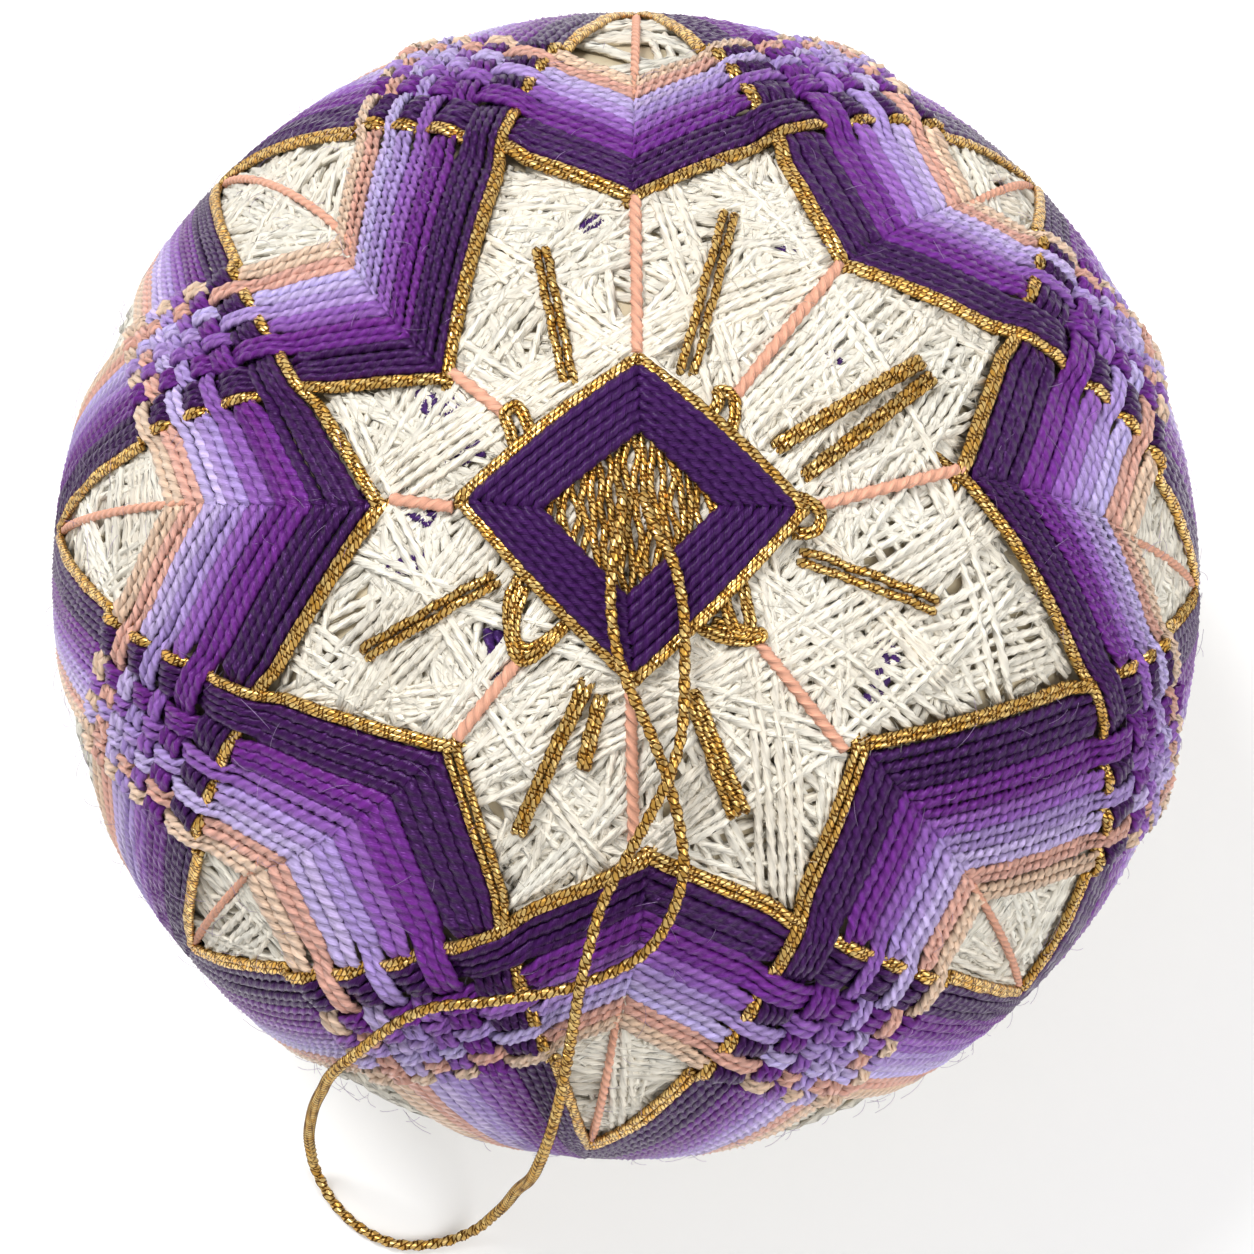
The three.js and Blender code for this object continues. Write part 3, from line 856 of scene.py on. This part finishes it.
def add_turns(mesh, middle, shows, reach, turns, radius, step):
    """Turns of thread in clusters, great circles through a round region, kept only where they show."""
    made = 0
    while made < turns:
        swing = math.radians(reach) * math.sqrt(random.random())
        outward = unit(np.cross(middle, random.normal(size=3)))
        spot = math.cos(swing) * middle + math.sin(swing) * outward
        heading = unit(np.cross(spot, random.normal(size=3)))
        level = random.uniform(-0.6, 0.12)
        colour = shade(0.05, 0.012)
        for _ in range(random.integers(2, 6)):
            aside = np.cross(spot, heading)
            spot = unit(spot + aside * (2 * radius * random.uniform(0.85, 1.3) / BALL_RADIUS))
            heading = unit(heading + aside * random.normal(0, 0.035))
            heading = unit(heading - heading @ spot * spot)
            turn = np.arange(-75, 75, math.degrees(step / BALL_RADIUS))
            place = np.radians(turn)[:, None]
            line = np.cos(place) * spot + np.sin(place) * heading
            keep = np.flatnonzero(shows(*angles(line)))
            for run in np.split(keep, np.flatnonzero(np.diff(keep) > 1) + 1):
                if len(run) < 5:
                    continue
                height = level + random.uniform(-0.1, 0.1) + wander(len(run), 0.05, 4)
                points = lift(line[run], height)
                tint = np.array(colour) * random.uniform(0.93, 1.04)
                mesh.add(points, radius, turns=WINDING_TWIST / step, lobes=WINDING_LOBES, tint=tint)
            made += 1


def add_winding():
    cream = thread_material("thread_cream", "#e9e1d0", roughness=0.9, sheen=0.1, ply_shade_strength=0.35, mottle=0.35)
    pole = direction(0, 0)
    upper = ThreadMesh(sides=5)
    add_turns(upper, pole, lambda az, colat: colat < star_edge(az) + 1, **TOP_WINDING)
    upper.piece("winding_top", cream, "cream_thread")
    petals = ThreadMesh(sides=5)
    for guide in GUIDES:
        middle = direction(guide["tip_az"], (guide["rim"][1] + TIP_COLATITUDE) / 2 + 1)
        reach = (TIP_COLATITUDE - guide["rim"][1]) / 2 + 6
        limit = math.cos(math.radians(reach))
        add_turns(
            petals,
            middle,
            lambda az, colat: direction(az, colat) @ middle > limit,
            reach=reach,
            **PETAL_WINDING,
        )
    petals.piece("winding_petals", cream, "cream_thread")
    under = ThreadMesh(sides=4)
    add_turns(
        under,
        -pole,
        lambda az, colat: (colat > south_edge(az) - 3) & (colat < LAST_COLATITUDE),
        **UNDER_WINDING,
    )
    under.piece("winding_underside", cream, "cream_thread")
    add_core()


def add_core():
    """The layers under the wound thread that shows, closed, with the flat spot it rests on."""
    depth = 0.7
    sectors = 96
    rings = 48
    colatitude = np.linspace(0.5, 179.5, rings)
    azimuth = np.arange(sectors) * 360 / sectors
    grid = lift(direction(azimuth[None, :], colatitude[:, None]), -depth)
    points = np.concatenate([grid.reshape(-1, 3), lift(direction(0, np.array([0, 180.0])), -depth)])
    points[:, 2] = np.maximum(points[:, 2], 0)
    number = np.arange(rings * sectors).reshape(rings, sectors)
    beside = np.roll(number, -1, axis=1)
    quads = np.stack([number[:-1], number[1:], beside[1:], beside[:-1]], axis=-1).reshape(-1, 4)
    top = rings * sectors
    faces = quads.tolist()
    faces += [[top, a, b] for a, b in zip(number[0].tolist(), beside[0].tolist())]
    faces += [[top + 1, b, a] for a, b in zip(number[-1].tolist(), beside[-1].tolist())]
    mesh = bpy.data.meshes.new("wound_core")
    mesh.from_pydata((points * MM).tolist(), [], faces)
    mesh.shade_smooth()
    mesh.materials.append(core_material("wound_core"))
    dress(bpy.data.objects.new("wound_core", mesh), "cream_thread", "wound_ball")


def add_purple_bits():
    purple = thread_material("thread_inner_layer", "#3a1a58")
    mesh = ThreadMesh(sides=6)
    for spot in PURPLE_BITS:
        middle = direction(*spot)
        heading = unit(np.cross(middle, random.normal(size=3)))
        for shift in (-0.35, 0.35):
            aside = np.cross(middle, heading) * shift / BALL_RADIUS
            place = np.linspace(-1, 1, 14) * random.uniform(0.8, 1.5) / BALL_RADIUS
            line = unit(middle + aside + place[:, None] * heading)
            mesh.add(lift(line, -0.16), 0.38, 0.34, turns=THREAD_TURNS, lobes=THREAD_LOBES, tint=shade(0.1))
    mesh.piece("inner_purple_bits", purple, "band_thread")


# Loose fibres


def add_fibres(name, count, material, slot, low, high, tint, shows):
    """Fine hairs that stand off the thread, each a short curve along the surface."""
    mesh = ThreadMesh(sides=3)
    place = np.linspace(0, 1, 5)
    made = 0
    while made < count:
        spot = unit(random.normal(size=3))
        if not shows(*angles(spot)):
            continue
        heading = unit(np.cross(spot, random.normal(size=3)))
        aside = np.cross(spot, heading)
        reach = random.uniform(0.6, 2.2) / BALL_RADIUS
        bend = random.normal(0, 0.5) * reach
        line = unit(spot + np.outer(place * reach, heading) + np.outer(place ** 2 * bend, aside))
        height = low + (high - low) * place * (1 - 0.5 * place) * random.random() * 2
        level = random.uniform(0.8, 1.15)
        mesh.add(lift(line, height), FIBRE_RADIUS, tint=np.array(tint) * level)
        made += 1
    mesh.piece(name, material, slot)


def add_loose_fibres():
    pale = thread_material("loose_fibre", "#ffffff", roughness=0.6, ply_shade_strength=0.0, mottle=0.0)
    add_fibres(
        "fibres_winding",
        WINDING_FIBRES,
        pale,
        "cream_thread",
        0.2,
        0.8,
        (0.85, 0.8, 0.68),
        lambda az, colat: 14 < colat < star_edge(az),
    )
    add_fibres(
        "fibres_band",
        BAND_FIBRES,
        pale,
        "band_thread",
        0.6,
        1.5,
        (0.5, 0.36, 0.62),
        lambda az, colat: star_edge(az) < colat < 115,
    )


# Guide threads


def add_guide_threads():
    salmon = thread_material("thread_guide", "#e6a78d", roughness=0.7, sheen=0.1, ply_shade_strength=0.4)
    mesh = ThreadMesh(sides=6)
    along = np.linspace(0, 1, 80)
    for guide, thread in zip(GUIDES, GUIDE_THREADS):
        line = blend(direction(*thread["inner"]), direction(*thread["outer"]), along * 1.1 - 0.05)
        mesh.add(lift(line, 0.4), GUIDE_RADIUS, turns=GUIDE_TURNS, lobes=GUIDE_LOBES, tint=shade(0.04))
        petal = blend(
            direction(guide["rim"][0], guide["rim"][1] - 3),
            direction(guide["tip_az"], TIP_COLATITUDE + 3),
            along,
        )
        if guide is GUIDES[BOWED_GUIDE]:
            azimuth, colatitude = angles(petal)
            petal = direction(azimuth + BOW_DEGREES * np.sin(np.pi * np.sqrt(along)), colatitude)
        mesh.add(
            lift(petal, PETAL_GUIDE_RADIUS),
            PETAL_GUIDE_RADIUS,
            turns=GUIDE_TURNS,
            lobes=GUIDE_LOBES,
            tint=shade(0.04),
        )
        low_tip = direction(guide["tip_az"], TIP_COLATITUDE + TIP_WIDTH - 5)
        south = blend(low_tip, direction(0, 180), along * 0.86)
        mesh.add(
            lift(south, PETAL_GUIDE_RADIUS),
            PETAL_GUIDE_RADIUS,
            turns=GUIDE_TURNS,
            lobes=GUIDE_LOBES,
            tint=shade(0.04),
        )
    mesh.piece("guide_threads", salmon, "band_thread")


# Floor and light


def add_stage():
    size = 4.0
    mesh = bpy.data.meshes.new("floor")
    corners = [(-size, -size, 0), (size, -size, 0), (size, size, 0), (-size, size, 0)]
    mesh.from_pydata(corners, [], [(0, 1, 2, 3)])
    nodes = Nodes("floor")
    nodes.shader.inputs["Base Color"].default_value = (0.98, 0.98, 0.98, 1)
    nodes.shader.inputs["Roughness"].default_value = 0.9
    mesh.materials.append(nodes.material)
    floor = bpy.data.objects.new("floor", mesh)
    bpy.context.scene.collection.objects.link(floor)


def add_area_light(name, place, size, watts):
    data = bpy.data.lights.new(name, "AREA")
    data.shape = "DISK"
    data.size = size
    data.energy = watts
    light = bpy.data.objects.new(name, data)
    back = unit(np.array(place) - CENTRE * MM)
    right = unit(np.cross((0.0, 1.0, 0.1), back))
    up = np.cross(back, right)
    columns = np.stack([right, up, back, place], axis=1)
    light.matrix_world = Matrix([*columns.tolist(), [0, 0, 0, 1]])
    bpy.context.scene.collection.objects.link(light)


def add_light():
    world = bpy.data.worlds.new("studio")
    world.use_nodes = True
    sky = world.node_tree.nodes["Background"]
    sky.inputs[0].default_value = (1, 1, 1, 1)
    sky.inputs[1].default_value = SKY_STRENGTH
    bpy.context.scene.world = world
    add_area_light("key", **KEY_LIGHT)
    add_area_light("fill", **FILL_LIGHT)
    bpy.context.scene.view_settings.view_transform = "Standard"


def main():
    add_camera()
    gold = gold_material("gold_braid")
    add_hanging_loop(gold)
    add_star_band(gold)
    add_pole_square(gold)
    add_gold_stitches(gold)
    add_gold_loops(gold)
    add_winding()
    add_purple_bits()
    add_loose_fibres()
    add_guide_threads()
    add_stage()
    add_light()


main()
